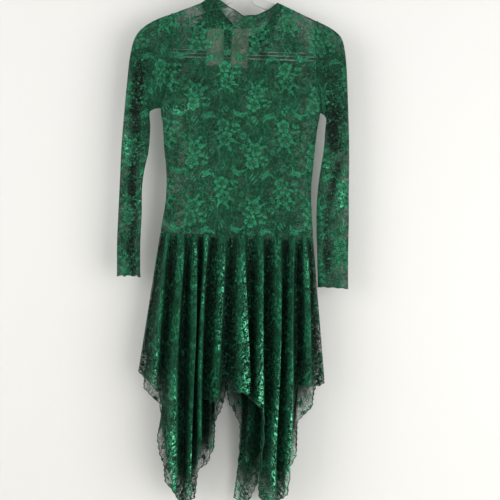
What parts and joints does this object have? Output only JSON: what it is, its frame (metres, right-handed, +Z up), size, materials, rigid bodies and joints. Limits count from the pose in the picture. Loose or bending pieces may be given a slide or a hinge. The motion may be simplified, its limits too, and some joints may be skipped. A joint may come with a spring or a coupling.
{
  "type": "lyrical dance dress on a hanger",
  "caption": "Long-sleeved stretch lace dance dress with a dropped waist and a gathered handkerchief skirt, hanging by a flat plastic hanger.",
  "frame": {"origin": "underside of the hanger's hook, where it rests on a rail or wall hook", "axes": "+Z up, -Y out of the back of the dress, +X to the right of somebody who looks at the back"},
  "size_m": [0.488, 0.1169, 1.1868],
  "materials": {
    "lace": "floral stretch lace, slightly shiny motifs on a sheer net",
    "label": "plain woven satin tape",
    "hanger_plastic": "pale grey moulded plastic"
  },
  "bodies": {
    "root": {"bodice_back": "lace", "bodice_front": "lace", "neck_band": "lace", "sleeve_left": "lace", "sleeve_right": "lace", "skirt_back": "lace", "skirt_front": "lace", "label_care": "label", "label_size": "label", "hanger_body": "hanger_plastic", "hanger_hook": "hanger_plastic"}
  },
  "joints": []
}
